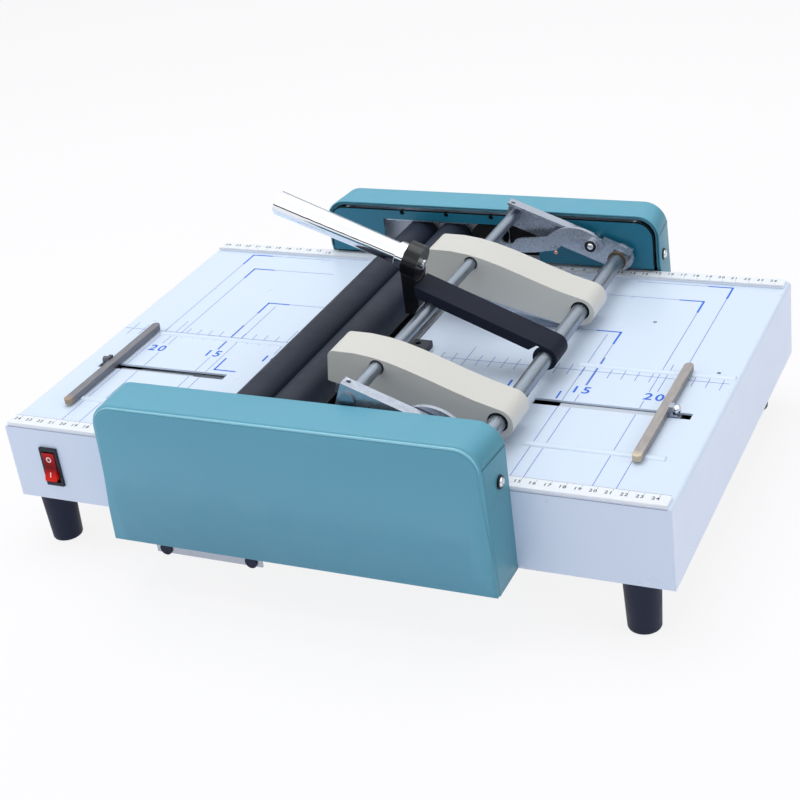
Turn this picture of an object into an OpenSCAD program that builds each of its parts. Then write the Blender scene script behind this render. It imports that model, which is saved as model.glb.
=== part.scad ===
// Tabletop booklet maker: two stapling heads on one press frame, and a pair of
// powered fold rollers, on a printed sheet-metal table.
// X runs left to right along the table, Y from front to back, Z up.
// The origin lies on the floor under the crossing of the table's printed axes.

/* [Base box] */
// Length of the base box, left to right
base_l = 500; // [470:5:560]
// Height of the base box
base_h = 60; // [58:1:75]
// Sheet thickness of the base box
sheet = 1.6; // [1.2:0.1:2.4]
// Bend radius along the left and right edges of the table
bend_r = 3; // [2:0.5:5]
// How far the base runs back behind the inner plane of the back cover
back_ledge = 5.5; // [5:0.5:9]
// Height of the embossed ribs on the table
rib_h = 1.5; // [1:0.1:1.8]
// Radius of the round section that each rib is part of
rib_r = 4.2; // [3:0.1:6]

/* [Feet] */
// Height of a foot
foot_h = 40; // [36:1:55]
// Radius of a foot at its top
foot_top_r = 12.8; // [10:0.2:16]
// Radius of a foot at the floor
foot_low_r = 11.2; // [8:0.2:14]
// Distance of the left feet's axes from the base's left end
foot_left_in = 21.5; // [18:0.5:40]
// Distance of the right feet's axes from the base's right end
foot_right_in = 26; // [18:0.5:40]
// Distance of the front feet's axes from the front face
foot_front_in = 13; // [13:0.5:30]
// Distance of the back feet's axes from the back face
foot_back_in = 20; // [14:0.5:30]

/* [Paper guides] */
// Width of a ruled guide strip
guide_w = 12; // [10:0.5:14]
// Height of a guide strip above the table
guide_h = 2.5; // [1.5:0.1:3]
// Gap from a guide strip's end to the table's end
guide_end = 3; // [2:0.5:10]
// Gap from the back guide to the back edge of the base
guide_back_gap = 1; // [0.5:0.5:2]

/* [Side covers] */
// Inner plane of both side covers, from the centre line
frame_y = 160.5; // [158:0.5:175]
// Length of a side cover
cover_l = 290; // [284:1:310]
// Centre of the front cover along the table
cover_front_x = 0.5; // [0:0.5:6]
// Centre of the back cover along the table
cover_back_x = 4.5; // [0:0.5:6]
// Depth of a side cover
cover_d = 35.5; // [34:0.5:45]
// Rise of a side cover above the table
cover_rise = 48.5; // [46:0.5:60]
// Wall thickness of a side cover
cover_t = 2; // [1.5:0.1:3]
// Radius of a cover's two top corners
cover_r = 18; // [12:1:24]
// Open joint between a cover and its inner plate
joint_gap = 3; // [2:0.5:4]
// Thickness of an inner plate
plate_t = 1.5; // [1:0.1:2]
// Gap under an inner plate, above the table
plate_lift = 5.5; // [4:0.5:7]
// Left end of the window in an inner plate
window_x0 = -86; // [-92:1:-80]
// Right end of the window in an inner plate
window_x1 = 50; // [40:1:56]
// Top of the window above the table
window_h = 36; // [35:0.5:38]

/* [Lower bracket] */
// Length of the bracket under the front cover
lower_l = 84; // [60:1:100]
// Place of the bracket along the table
lower_x = -71; // [-80:1:-40]
// Width of the bracket
lower_w = 24; // [16:1:28]
// Distance of the bracket from the cover's outer face
lower_in = 4; // [3:0.5:8]
// Drop of the bracket's lip
lower_drop = 8; // [7.5:0.5:10]
// Radius of a grommet
grommet_r = 3; // [2:0.1:3.2]

/* [Fold rollers] */
// Radius of a fold roller
roller_r = 14.65; // [13.5:0.05:15]
// Gap between the two rollers
nip_gap = 0.3; // [0.3:0.1:1]
// Place of the fold line along the table
fold_x = -40.25; // [-43:0.25:-38]
// Gap under the rollers for the paper
paper_gap = 4.35; // [4.2:0.05:6]
// Radius of a roller's steel shaft
roller_shaft_r = 5; // [4:0.5:6]
// Number of teeth on each roller gear and on the idler gear
gear_teeth = 20; // [20:4:24]
// Number of teeth on the motor pinion
pinion_teeth = 10; // [10:2:12]
// Width of the gears
gear_w = 8; // [6:0.5:9]
// Radius of the fold motor's body
motor_r = 24; // [20:0.5:25]
// Length of the fold motor's body
motor_l = 60; // [40:1:80]
// Thickness of the fold knife's blade
knife_t = 1; // [0.8:0.1:1.2]
// Thickness of the fold knife's carrier
carrier_t = 8; // [6:0.5:10]
// Height of the carrier above the floor of the base box, at rest
carrier_lift = 12; // [8:0.5:14]
// Rise of the fold knife
knife_rise = 16; // [12:0.5:16]

/* [Press frame] */
// Radius of the main shaft
shaft_r = 6; // [5.5:0.1:6.5]
// Place of the main shaft along the table
shaft_x = 119.5; // [117:0.5:122]
// Height of the main shaft above the table
shaft_h = 17.5; // [17:0.1:18]
// Radius of the thin press rod
rod_r = 4.5; // [4.2:0.1:4.7]
// Place of the press rod along the table
rod_x = 36; // [35:0.5:38]
// Height of the press rod above the table
rod_h = 50; // [49:0.5:51]
// Swing of the press frame from rest to the end of its stroke, in degrees
press_angle = 12; // [9:0.5:12]
// Tilt of the press arm at rest, in degrees
arm_tilt = 22.4; // [21:0.2:23]
// Width of the press arm
arm_w = 24; // [22:1:28]
// Place of the press arm along the shaft
arm_y = -8; // [-12:1:-4]
// Radius of the press arm's ears
arm_ear_r = 9; // [8:0.5:9]
// Depth of the press arm's side flanges
arm_flange = 8; // [7:0.5:10]
// Sheet thickness of the press arm and brackets
arm_t = 2; // [1.5:0.1:2.5]
// Tilt of the end brackets at rest, in degrees
bracket_tilt = 21; // [20:0.5:22]
// Width of an end bracket's top flange
bracket_w = 9; // [7:0.5:11]
// Gap between an end bracket and the inner plate beside it
bracket_gap = 4.5; // [3:0.1:5]
// Radius of the handle tube at its free end
handle_r = 9; // [8.5:0.1:9.5]
// Radius of the handle tube at the collar
handle_neck_r = 7.6; // [7.2:0.1:8.2]
// Length of the handle tube
handle_l = 105.5; // [80:0.5:130]
// Tilt of the handle at rest, in degrees
handle_tilt = 20.5; // [19:0.5:22]
// Place of the collar's outer face along the table
collar_x = 28; // [26:0.5:29]
// Height of the collar's outer face above the table
collar_h = 79.2; // [78:0.2:82]
// Radius of the collar that holds the handle
collar_r = 12.5; // [11.5:0.5:13]
// Length of the collar
collar_l = 11.5; // [10:0.5:14]

/* [Stapling heads] */
// Width of a stapling head
head_w = 30; // [26:0.5:34]
// Place of the front head along the shaft
head_front_y = -96; // [-100:1:-92]
// Place of the back head along the shaft
head_back_y = 72; // [68:1:76]
// Height of a head's top at its nose, above the table
head_top = 59.5; // [58:0.5:62]
// Wall thickness of a head's cover
head_t = 2; // [1.5:0.1:2.5]
// Radius of a head's round tail
tail_r = 10.9; // [10.5:0.1:12]
// How far the middle of the round tail lies below the shaft
tail_drop = 1.1; // [0.5:0.1:1.5]
// Radius of the hole in a head's cover round the main shaft
tail_hole_r = 7.3; // [7:0.1:7.8]
// Gap left under the staple rail at the end of the stroke
anvil_gap = 1; // [0.8:0.1:2]

/* [Latch levers] */
// Place of the latch levers' studs along the table
stud_x = 101; // [100:0.5:102]
// Height of the studs above the table
stud_h = 31.4; // [30.5:0.1:32]
// Radius of a stud
stud_r = 3; // [2.5:0.1:3.2]
// Thickness of a latch lever
latch_t = 3; // [2:0.5:3]
// Radius of the notch that takes the press rod
notch_r = 7; // [6.5:0.1:7.5]

/* [Paper stops] */
// Length of a stop bar
stop_l = 129; // [110:1:134]
// How far the middle of a stop bar lies in front of its slot
stop_fore = 1.5; // [0:0.5:3]
// Width of a stop bar
stop_w = 6.5; // [6:0.5:9]
// Height of a stop bar's body
stop_h = 4.2; // [3:0.1:4.5]
// Distance of the right stop bar at rest from the outer end of its slot
stop_right_in = 18; // [13:0.5:50]
// Distance of the left stop bar at rest from the outer end of its slot
stop_left_in = 14.5; // [13:0.5:50]
// How far a stop's screw stands out from its bar
stop_screw = 6.5; // [5:0.5:10]
// Width of the slots in the table
slot_w = 8; // [7:0.5:10]
// Distance of the slots' outer ends from the ends of the base
slot_end = 18.5; // [16:0.5:40]
// Inner end of the slots, from the centre
slot_in = 120; // [115:1:130]
// Place of the right slot
slot_right_y = -48.6; // [-50:0.2:-46]
// Place of the left slot
slot_left_y = -61; // [-63:0.5:-60]

/* [Switch] */
// Width of the power switch
switch_w = 15.2; // [15:0.2:18]
// Height of the power switch
switch_h = 31.4; // [31:0.2:34]
// Distance of the switch's centre from the base's left end
switch_in = 34.6; // [30:0.2:60]
// Depth of the switch's centre below the table
switch_down = 30.9; // [28:0.1:33]
// Swing of the rocker from one side to the other, in degrees
rocker_swing = 17; // [12:1:18]

/* [Fits] */
// Radial clearance of a running fit
run_gap = 0.05; // [0.02:0.01:0.09]
// Gap between pieces that pass each other
pass_gap = 0.3; // [0.25:0.05:0.4]

/* [Hidden] */
$fn = 64;
tiny = 0.01;

table_z = foot_h + base_h;
base_front = frame_y;
base_back = frame_y + back_ledge;
cover_out = frame_y + cover_d;
cover_inner_top = table_z + cover_rise - cover_t;
shaft_z = table_z + shaft_h;
rod_z = table_z + rod_h;
stud_z = table_z + stud_h;
roller_z = table_z + paper_gap + roller_r;
roller_dx = roller_r + nip_gap / 2;
nip_left_x = fold_x - roller_dx;
nip_right_x = fold_x + roller_dx;

// Joined edges of the table opening under the rollers and heads
opening_x0 = nip_left_x - roller_r - 2.3;
opening_x1 = 2.3;
opening_y = 150;
anvil_x = [-17.5, -7];
clinch_x = [-4.5, 1.3];

// Stapling heads
nose_x = -2.5;
head_z = table_z + head_top;

// Inner bearing frames behind the windows
bearing_in = frame_y + 16;
bearing_t = 2;
bearing_out = bearing_in + bearing_t;
gear_y = bearing_out + 2.5;

// Gears: pitch radii follow the roller spacing
pitch_r = roller_dx;
module_mm = 2 * pitch_r / gear_teeth;
pinion_r = pinion_teeth * module_mm / 2;
idler_dir = 250;
pinion_dir = 260;
idler_c = [nip_left_x, roller_z] + 2 * pitch_r * [cos(idler_dir), sin(idler_dir)];
pinion_c = idler_c + (pitch_r + pinion_r) * [cos(pinion_dir), sin(pinion_dir)];
idler_shaft_r = 4;
motor_shaft_r = 3;

// Press frame
bracket_wall_out = frame_y - bracket_gap;
bracket_wall_in = bracket_wall_out - arm_t;
bracket_front_edge = bracket_wall_out - bracket_w;
bracket_top = 10.2;
bracket_low = 11.1;
bracket_len = (shaft_x - rod_x + 7) / cos(bracket_tilt);
arm_end_x = 25.5;
post_x0 = 14;
post_w = 16;
post_low = 42;
collar_c = [collar_x, table_z + collar_h];
handle_dir = [-cos(handle_tilt), sin(handle_tilt)];
ferrule_r = handle_neck_r + 1.6;
ferrule_l = 7;

// The rod's place at the end of the stroke, where the latch notch takes it
rod_dx = shaft_x - rod_x;
rod_dz = rod_h - shaft_h;
notch_x = shaft_x - rod_dx * cos(press_angle) - rod_dz * sin(press_angle);
rod_end_z = shaft_z + rod_dz * cos(press_angle) - rod_dx * sin(press_angle);
notch_z = rod_end_z + notch_r - rod_r - run_gap;
latch_out = bracket_front_edge - 1;
latch_in = latch_out - latch_t;
stud_radius = norm([shaft_x - stud_x, stud_h - shaft_h]);
stud_dir = 180 - atan2(stud_h - shaft_h, shaft_x - stud_x);

// Paper stops
slot_out = base_l / 2 - slot_end;
stop_right_x = slot_out - stop_right_in;
stop_left_x = stop_left_in - slot_out;
stop_z0 = table_z + rib_h + pass_gap;
stem_w = slot_w - 1.4;
stem_l = 10;
switch_x = -base_l / 2 + switch_in;
switch_z = table_z - switch_down;
rocker_y = base_front - 4;

function arc(c, r, a0, a1, n = 24) =
    [for (i = [0 : n]) let (a = a0 + (a1 - a0) * i / n) c + r * [cos(a), sin(a)]];
function turned(p, a) = [p[0] * cos(a) - p[1] * sin(a), p[0] * sin(a) + p[1] * cos(a)];

// A profile drawn in X and Z, extruded from y0 to y1
module along_y(y0, y1) {
    translate([0, y1, 0]) rotate([90, 0, 0]) linear_extrude(height = y1 - y0) children();
}

// A profile drawn in Y and Z, extruded from x0 to x1
module along_x(x0, x1) {
    translate([x0, 0, 0]) rotate([90, 0, 90]) linear_extrude(height = x1 - x0) children();
}

module rod_y(r, y0, y1, x, z) {
    translate([x, y0, z]) rotate([-90, 0, 0]) cylinder(r = r, h = y1 - y0);
}

module rod_x_axis(r, x0, x1, y, z) {
    translate([x0, y, z]) rotate([0, 90, 0]) cylinder(r = r, h = x1 - x0);
}

module box(x, y, z) {
    translate([x[0], y[0], z[0]]) cube([x[1] - x[0], y[1] - y[0], z[1] - z[0]]);
}

// The front side is the mirror image of the back side
module on_side(side) {
    if (side < 0) mirror([0, 1, 0]) children();
    else children();
}

// Base box

module base_profile(inset) {
    half = base_l / 2 - inset;
    top = table_z - inset;
    r = max(bend_r - inset, 0.4);
    polygon(concat(
        [[-half, foot_h - (inset > 0 ? 1 : 0)]],
        arc([-half + r, top - r], r, 180, 90, 8),
        arc([half - r, top - r], r, 90, 0, 8),
        [[half, foot_h - (inset > 0 ? 1 : 0)]]));
}

module rib(x0, x1, y) {
    intersection() {
        rod_x_axis(rib_r, x0, x1, y, table_z + rib_h - rib_r);
        box([x0, x1], [y - rib_r, y + rib_r], [table_z - sheet / 2, table_z + rib_h + 1]);
    }
}

module slot_cut(x0, x1, y) {
    box([x0, x1], [y - slot_w / 2, y + slot_w / 2], [table_z - sheet - 1, table_z + rib_h + 1]);
}

module base_shell() {
    color([0.87, 0.92, 0.98]) difference() {
        union() {
            difference() {
                along_y(-base_front, base_back) base_profile(0);
                along_y(-base_front + sheet, base_back - sheet) base_profile(sheet);
            }
            rib(shaft_x + 15, base_l / 2 - 20, -104.5);
            rib(shaft_x + 15, base_l / 2 - guide_end, 8);
            rib(-base_l / 2 + 40, opening_x0 - 2, -4);
            rib(-base_l / 2 + 37, opening_x0 - 2, -113);
        }
        box([opening_x0, opening_x1], [-opening_y + 1, opening_y - 1],
            [table_z - sheet - 1, table_z + rib_h + 1]);
        slot_cut(slot_in, slot_out, slot_right_y);
        slot_cut(-slot_out, -slot_in, slot_left_y);
        for (p = [[233.7, 14.3], [168, 82.8]])
            translate([p[0], p[1], table_z - sheet - 1]) cylinder(r = 1.6, h = sheet + 2);
        rod_y(motor_shaft_r + 2, -base_front - 1, -base_front + sheet + 1, pinion_c[0], pinion_c[1]);
        box([switch_x - switch_w / 2 + 0.8, switch_x + switch_w / 2 - 0.8],
            [-base_front - 1, -base_front + sheet + 1],
            [switch_z - switch_h / 2 + 0.6, switch_z + switch_h / 2 - 0.6]);
        box([inlet_x - inlet_w / 2 + 2, inlet_x + inlet_w / 2 - 2],
            [base_back - sheet - 1, base_back + 1],
            [inlet_z - inlet_h / 2 + 2, inlet_z + inlet_h / 2 - 2]);
    }
}

module under_plate() {
    color([0.62, 0.66, 0.72])
        box([-base_l / 2 + sheet, base_l / 2 - sheet], [-base_front + sheet, base_back - sheet],
            [foot_h, foot_h + sheet]);
}

module fold_plate() {
    color([0.05, 0.05, 0.06]) difference() {
        box([opening_x0 - 4, opening_x1 + 6], [-opening_y, opening_y],
            [table_z - 2 * sheet, table_z - sheet]);
        box([fold_x - knife_t / 2 - 1, fold_x + knife_t / 2 + 1], [-opening_y + 6, opening_y - 6],
            [table_z - 2 * sheet - 1, table_z]);
    }
}

module table_strip(x) {
    box(x, [-opening_y + 2, opening_y - 2], [table_z - sheet, table_z]);
}

module anvil_bar() {
    color([0.68, 0.72, 0.76]) table_strip(anvil_x);
}

module clinch_strip() {
    color([0.6, 0.64, 0.68]) table_strip(clinch_x);
}

module centre_block() {
    color([0.06, 0.06, 0.07]) difference() {
        box([opening_x1 + 1.2, opening_x1 + 15], [-1, 15], [table_z, table_z + 5]);
        translate([opening_x1 + 6, 9, table_z + 3]) cylinder(r = 2.2, h = 3);
    }
}

module foot(sx, sy) {
    fx = sx * (base_l / 2 - (sx < 0 ? foot_left_in : foot_right_in));
    fy = sy < 0 ? -base_front + foot_front_in : base_back - foot_back_in;
    color([0.13, 0.14, 0.18]) difference() {
        translate([fx, fy, 0]) cylinder(r1 = foot_low_r, r2 = foot_top_r, h = foot_h);
        translate([fx, fy, -1]) cylinder(r = 5, h = 9);
        translate([fx, fy, 0]) cylinder(r = 2.6, h = foot_h + 1);
    }
}

module guide_strip(y0) {
    color([0.94, 0.96, 0.99])
        box([-base_l / 2 + guide_end, base_l / 2 - guide_end], [y0, y0 + guide_w],
            [table_z, table_z + guide_h]);
}

// Side covers and what they hold

function cover_mid(side) = side < 0 ? cover_front_x : cover_back_x;

module cover_outline(side, inset) {
    cover_x = cover_mid(side);
    half = cover_l / 2 - inset;
    top = table_z + cover_rise - inset;
    r = cover_r - inset;
    polygon(concat(
        [[cover_x - half, foot_h + inset]],
        arc([cover_x - half + r, top - r], r, 180, 90),
        arc([cover_x + half - r, top - r], r, 90, 0),
        [[cover_x + half, foot_h + inset]]));
}

module side_cover(side) {
    color([0.36, 0.62, 0.72]) on_side(side) difference() {
        along_y(frame_y, cover_out) cover_outline(side, 0);
        along_y(frame_y - 1, cover_out - cover_t) cover_outline(side, cover_t);
        if (side > 0)
            box([-base_l, base_l], [frame_y - 1, base_back], [0, table_z + guide_h + pass_gap]);
    }
}

module inner_plate(side) {
    inset = cover_t + joint_gap;
    color([0.14, 0.4, 0.5]) on_side(side) difference() {
        intersection() {
            along_y(frame_y, frame_y + plate_t) cover_outline(side, inset);
            box([-base_l, base_l], [0, cover_out],
                [table_z + plate_lift, table_z + cover_rise]);
        }
        box([window_x0, window_x1], [frame_y - 1, frame_y + plate_t + 1],
            [table_z, table_z + window_h]);
        rod_y(shaft_r, frame_y - 1, frame_y + plate_t + 1, shaft_x, shaft_z);
        rod_y(stud_r, frame_y - 1, frame_y + plate_t + 1, stud_x, stud_z);
        for (i = [-1 : 1])
            rod_y(2, frame_y - 1, frame_y + plate_t + 1, -28.5 + 39.5 * i, table_z + cover_rise - 6.5);
    }
}

// A plate with two side flanges, which reach the base's wall and the inner plate
module bearing_frame(side) {
    cover_x = cover_mid(side);
    bearing_half = shaft_x - cover_x + shaft_r + 5;
    seat = side < 0 ? base_front : base_back;
    low = foot_h + 6;
    top = cover_inner_top - joint_gap;
    color([0.78, 0.82, 0.9]) on_side(side) difference() {
        union() {
            box([cover_x - bearing_half, cover_x + bearing_half], [bearing_in, bearing_out], [low, top]);
            for (s = [-1, 1]) {
                x = cover_x + s * (bearing_half - bearing_t / 2);
                box([x - bearing_t / 2, x + bearing_t / 2], [seat, bearing_in + tiny],
                    [low, table_z - 4]);
                box([x - bearing_t / 2, x + bearing_t / 2], [frame_y + plate_t, bearing_in + tiny],
                    [table_z + plate_lift, top]);
            }
            if (side < 0)
                rod_y(idler_shaft_r, bearing_in, gear_y + gear_w + 1, idler_c[0], idler_c[1]);
        }
        for (x = [nip_left_x, nip_right_x])
            rod_y(roller_shaft_r + run_gap, bearing_in - 1, bearing_out + 1, x, roller_z);
        if (side < 0)
            rod_y(motor_shaft_r + 2, bearing_in - 1, bearing_out + 1, pinion_c[0], pinion_c[1]);
    }
}

module cover_screw(sx, side) {
    x = cover_mid(side) + sx * cover_l / 2;
    head = 2.5;
    color([0.85, 0.86, 0.88]) on_side(side)
        translate([x, frame_y + 13, table_z + 13.4]) rotate([0, sx * 90, 0])
        difference() {
            cylinder(r1 = 4.6, r2 = 3.2, h = head);
            translate([-3, -0.5, head - 1]) cube([6, 1, 2]);
        }
}

bracket_u = [lower_x - lower_l / 2, lower_x + lower_l / 2];
lower_y = -cover_out + lower_in;
grommet_x = [bracket_u[0] + lower_drop, bracket_u[1] - lower_drop];
grommet_z = foot_h - lower_drop / 2 - 0.4;

module lower_bracket() {
    color([0.55, 0.57, 0.6]) difference() {
        union() {
            box(bracket_u, [lower_y, lower_y + lower_w], [foot_h - sheet, foot_h]);
            box(bracket_u, [lower_y, lower_y + sheet], [foot_h - lower_drop, foot_h - sheet + tiny]);
        }
        for (x = grommet_x) rod_y(grommet_r, lower_y - 1, lower_y + sheet + 1, x, grommet_z);
    }
}

module grommets() {
    color([0.06, 0.06, 0.07]) for (x = grommet_x) {
        rod_y(grommet_r, lower_y, lower_y + sheet, x, grommet_z);
        difference() {
            rod_y(grommet_r + 1.6, lower_y - 1.2, lower_y, x, grommet_z);
            box([x - 6, x + 6], [lower_y - 2, lower_y + 1], [foot_h - 0.2, foot_h + 5]);
        }
    }
}

module main_shaft() {
    color([0.72, 0.75, 0.8]) rod_y(shaft_r, -bearing_in, bearing_in, shaft_x, shaft_z);
}

module latch_stud(side) {
    color([0.8, 0.82, 0.84]) on_side(side) difference() {
        union() {
            rod_y(stud_r, latch_in - pass_gap - 1, frame_y + plate_t + 1.5, stud_x, stud_z);
            rod_y(5.2, latch_in - pass_gap - 2.8, latch_in - pass_gap, stud_x, stud_z);
        }
        translate([stud_x, latch_in - pass_gap - 1.3, stud_z]) rotate([90, 0, 0])
            cylinder(r = 1.8, h = 3, $fn = 6);
    }
}

module fold_motor() {
    y1 = -base_front + sheet;
    color([0.2, 0.21, 0.24]) difference() {
        rod_y(motor_r, y1, y1 + motor_l, pinion_c[0], pinion_c[1]);
        rod_y(motor_shaft_r + run_gap, y1 - 1, y1 + 10, pinion_c[0], pinion_c[1]);
    }
}

module knife_motor() {
    color([0.05, 0.05, 0.06])
        rod_y(14.5, frame_y + 4, bearing_in, nip_right_x + roller_r + 15.2, table_z + 20.5);
}

guide_rod_r = 4;
guide_rod_x = fold_x - 14;
guide_rod_y = 80;
carrier_z = [foot_h + carrier_lift, foot_h + carrier_lift + carrier_t];
carrier_y = 92;

module knife_guide(side) {
    color([0.75, 0.78, 0.82]) translate([guide_rod_x, side * guide_rod_y, foot_h + sheet])
        cylinder(r = guide_rod_r, h = base_h - 4 * sheet - 4);
}

// Power switch and inlet

module switch_bezel() {
    well_w = switch_w - 4.2;
    well_h = switch_h - 6;
    color([0.12, 0.13, 0.15]) difference() {
        union() {
            box([switch_x - switch_w / 2, switch_x + switch_w / 2], [-base_front - 2, -base_front],
                [switch_z - switch_h / 2, switch_z + switch_h / 2]);
            box([switch_x - switch_w / 2 + 0.8, switch_x + switch_w / 2 - 0.8],
                [-base_front - tiny, -base_front + 18],
                [switch_z - switch_h / 2 + 0.6, switch_z + switch_h / 2 - 0.6]);
        }
        box([switch_x - well_w / 2, switch_x + well_w / 2], [-base_front - 3, -base_front + 15],
            [switch_z - well_h / 2, switch_z + well_h / 2]);
    }
    color([0.12, 0.13, 0.15]) rod_x_axis(1.5, switch_x - well_w / 2 - tiny, switch_x + well_w / 2 + tiny,
        -rocker_y, switch_z);
}

// Rocker, drawn in its own middle position and turned half its swing at rest
module switch_rocker() {
    w = switch_w - 4.2 - 2 * pass_gap;
    tip = switch_h / 2 - 4.5;
    color([0.8, 0.07, 0.06]) translate([switch_x, -rocker_y, switch_z])
        rotate([-rocker_swing / 2, 0, 0]) difference() {
            translate([-w / 2, 0, 0]) rotate([90, 0, 90]) linear_extrude(height = w)
                polygon([[-8.4, tip], [-6.6, 0], [-8.4, -tip], [-4, -tip + 1.5], [5, -4], [5, 4],
                    [-4, tip - 1.5]]);
            rotate([0, 90, 0]) translate([0, 0, -w]) cylinder(r = 1.5 + run_gap, h = 2 * w);
        }
}

inlet_x = -base_l / 2 + 40;
inlet_w = 31;
inlet_h = 24;
inlet_z = foot_h + base_h / 2;

module power_inlet() {
    color([0.08, 0.08, 0.09]) {
        difference() {
            union() {
                box([inlet_x - inlet_w / 2, inlet_x + inlet_w / 2], [base_back, base_back + 2],
                    [inlet_z - inlet_h / 2, inlet_z + inlet_h / 2]);
                box([inlet_x - inlet_w / 2 + 2, inlet_x + inlet_w / 2 - 2],
                    [base_back - 20, base_back + tiny],
                    [inlet_z - inlet_h / 2 + 2, inlet_z + inlet_h / 2 - 2]);
            }
            box([inlet_x - inlet_w / 2 + 4, inlet_x + inlet_w / 2 - 4], [base_back - 15, base_back + 3],
                [inlet_z - inlet_h / 2 + 4, inlet_z + inlet_h / 2 - 4]);
        }
        for (p = [[-7, -2.5], [0, 3], [7, -2.5]])
            box([inlet_x + p[0] - 1, inlet_x + p[0] + 1], [base_back - 15 - tiny, base_back - 3],
                [inlet_z + p[1] - 2, inlet_z + p[1] + 2]);
    }
}

// Fold rollers, gears and knife

module gear_2d(teeth, phase) {
    pr = teeth * module_mm / 2;
    half = 360 / teeth / 4;
    polygon([for (i = [0 : teeth - 1], k = [-1, 1], j = [0, 1])
        let (
            top = (k < 0) == (j == 1),
            r = top ? pr + 0.8 * module_mm : pr - 1.05 * module_mm,
            a = phase + i * 360 / teeth + k * half * (top ? 0.5 : 1.4))
        r * [cos(a), sin(a)]]);
}

module gear(teeth, c, phase, bore) {
    difference() {
        along_y(-gear_y - gear_w, -gear_y) translate(c) gear_2d(teeth, phase);
        rod_y(bore, -gear_y - gear_w - 1, -gear_y + 1, c[0], c[1]);
    }
}

// Tooth phases that put every pair in mesh at rest
step = 360 / gear_teeth;
left_phase = 0;
right_phase = 180 + step / 2;
idler_phase = idler_dir + 180 + step / 2 + (idler_dir - left_phase);
pinion_phase = pinion_dir + 180 + 180 / pinion_teeth
    + (pinion_dir - idler_phase) * gear_teeth / pinion_teeth;

module roller_sleeve(x) {
    color([0.17, 0.18, 0.22]) difference() {
        rod_y(roller_r, -frame_y - 10, frame_y + 10, x, roller_z);
        rod_y(roller_shaft_r, -frame_y - 11, frame_y + 11, x, roller_z);
    }
}

module roller_shaft(x, phase) {
    color([0.7, 0.73, 0.77]) union() {
        rod_y(roller_shaft_r, -gear_y - gear_w - 1, bearing_out + 1.5, x, roller_z);
        gear(gear_teeth, [x, roller_z], phase, roller_shaft_r - 0.5);
    }
}

module idler_gear() {
    color([0.85, 0.85, 0.8]) gear(gear_teeth, idler_c, idler_phase, idler_shaft_r + run_gap);
}

module motor_pinion() {
    color([0.72, 0.6, 0.3]) union() {
        gear(pinion_teeth, pinion_c, pinion_phase, motor_shaft_r - 0.5);
        rod_y(motor_shaft_r, -gear_y - gear_w - 1, -base_front + sheet + 9, pinion_c[0], pinion_c[1]);
    }
}

module fold_knife() {
    top = table_z - 3;
    color([0.7, 0.73, 0.77]) difference() {
        union() {
            box([fold_x - knife_t / 2, fold_x + knife_t / 2], [-opening_y + 10, opening_y - 10],
                [carrier_z[0], top]);
            box([guide_rod_x - 8, fold_x + 7], [-carrier_y, carrier_y], carrier_z);
        }
        for (s = [-1, 1])
            translate([guide_rod_x, s * guide_rod_y, carrier_z[0] - 1])
                cylinder(r = guide_rod_r + run_gap, h = carrier_z[1] - carrier_z[0] + 2);
    }
}

// Paper stops

module stop_bar(x, y) {
    mid = y - stop_fore;
    color([0.6, 0.58, 0.56]) union() {
        box([x - stop_w / 2, x + stop_w / 2],
            [mid - stop_l / 2 + stop_w / 2, mid + stop_l / 2 - stop_w / 2], [stop_z0, stop_z0 + stop_h]);
        for (s = [-1, 1])
            translate([x, mid + s * (stop_l / 2 - stop_w / 2), stop_z0])
                cylinder(r = stop_w / 2, h = stop_h);
    }
}

// Slider in the slot, with its clamp plate under the table and its screw beside the bar
module stop_block(x, y, out) {
    cx = x + out * (stop_w / 2 + 1);
    face = x + out * stop_w / 2;
    color([0.5, 0.52, 0.54]) union() {
        box([cx - stem_l / 2, cx + stem_l / 2], [y - stem_w / 2, y + stem_w / 2],
            [table_z - sheet - pass_gap - 2, stop_z0]);
        box([cx - stem_l / 2 - 1, cx + stem_l / 2 + 1], [y - slot_w, y + slot_w],
            [table_z - sheet - pass_gap - 3.5, table_z - sheet - pass_gap]);
        box([min(face, face + out * 3), max(face, face + out * 3)], [y - 3.2, y + 3.2],
            [stop_z0 - tiny, stop_z0 + stop_h + 1.5]);
        rod_x_axis(2.6, min(face + out, face + out * stop_screw), max(face + out, face + out * stop_screw),
            y, stop_z0 + 2.9);
    }
}

// Press frame

// Places a flat outline whose x runs from the shaft up along a tilted arm, and whose y runs down
module from_shaft(tilt) {
    translate([shaft_x, shaft_z]) rotate(180 - tilt) children();
}

module press_arm() {
    y0 = arm_y - arm_w / 2;
    y1 = arm_y + arm_w / 2;
    reach = (shaft_x - arm_end_x) / cos(arm_tilt) + 20;
    color([0.15, 0.17, 0.23]) difference() {
        union() {
            for (y = [y0, y1 - arm_t])
                along_y(y, y + arm_t) from_shaft(arm_tilt) union() {
                    circle(r = arm_ear_r);
                    polygon([[arm_ear_r - 2, -arm_ear_r], [reach, -arm_ear_r],
                        [reach, arm_flange - arm_ear_r], [arm_ear_r + 4, arm_flange - arm_ear_r]]);
                }
            along_y(y0, y1) from_shaft(arm_tilt) union() {
                translate([0, -arm_ear_r]) square([reach, arm_t]);
                intersection() {
                    difference() {
                        circle(r = arm_ear_r);
                        circle(r = arm_ear_r - arm_t);
                    }
                    translate([-arm_ear_r, -arm_ear_r]) square([arm_ear_r, arm_ear_r * 1.3]);
                }
            }
        }
        rod_y(shaft_r + run_gap, y0 - 1, y1 + 1, shaft_x, shaft_z);
        rod_y(rod_r, y0 - 1, y1 + 1, rod_x, rod_z);
        box([-base_l, arm_end_x], [-base_front, base_back], [0, table_z + 200]);
    }
}

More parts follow.
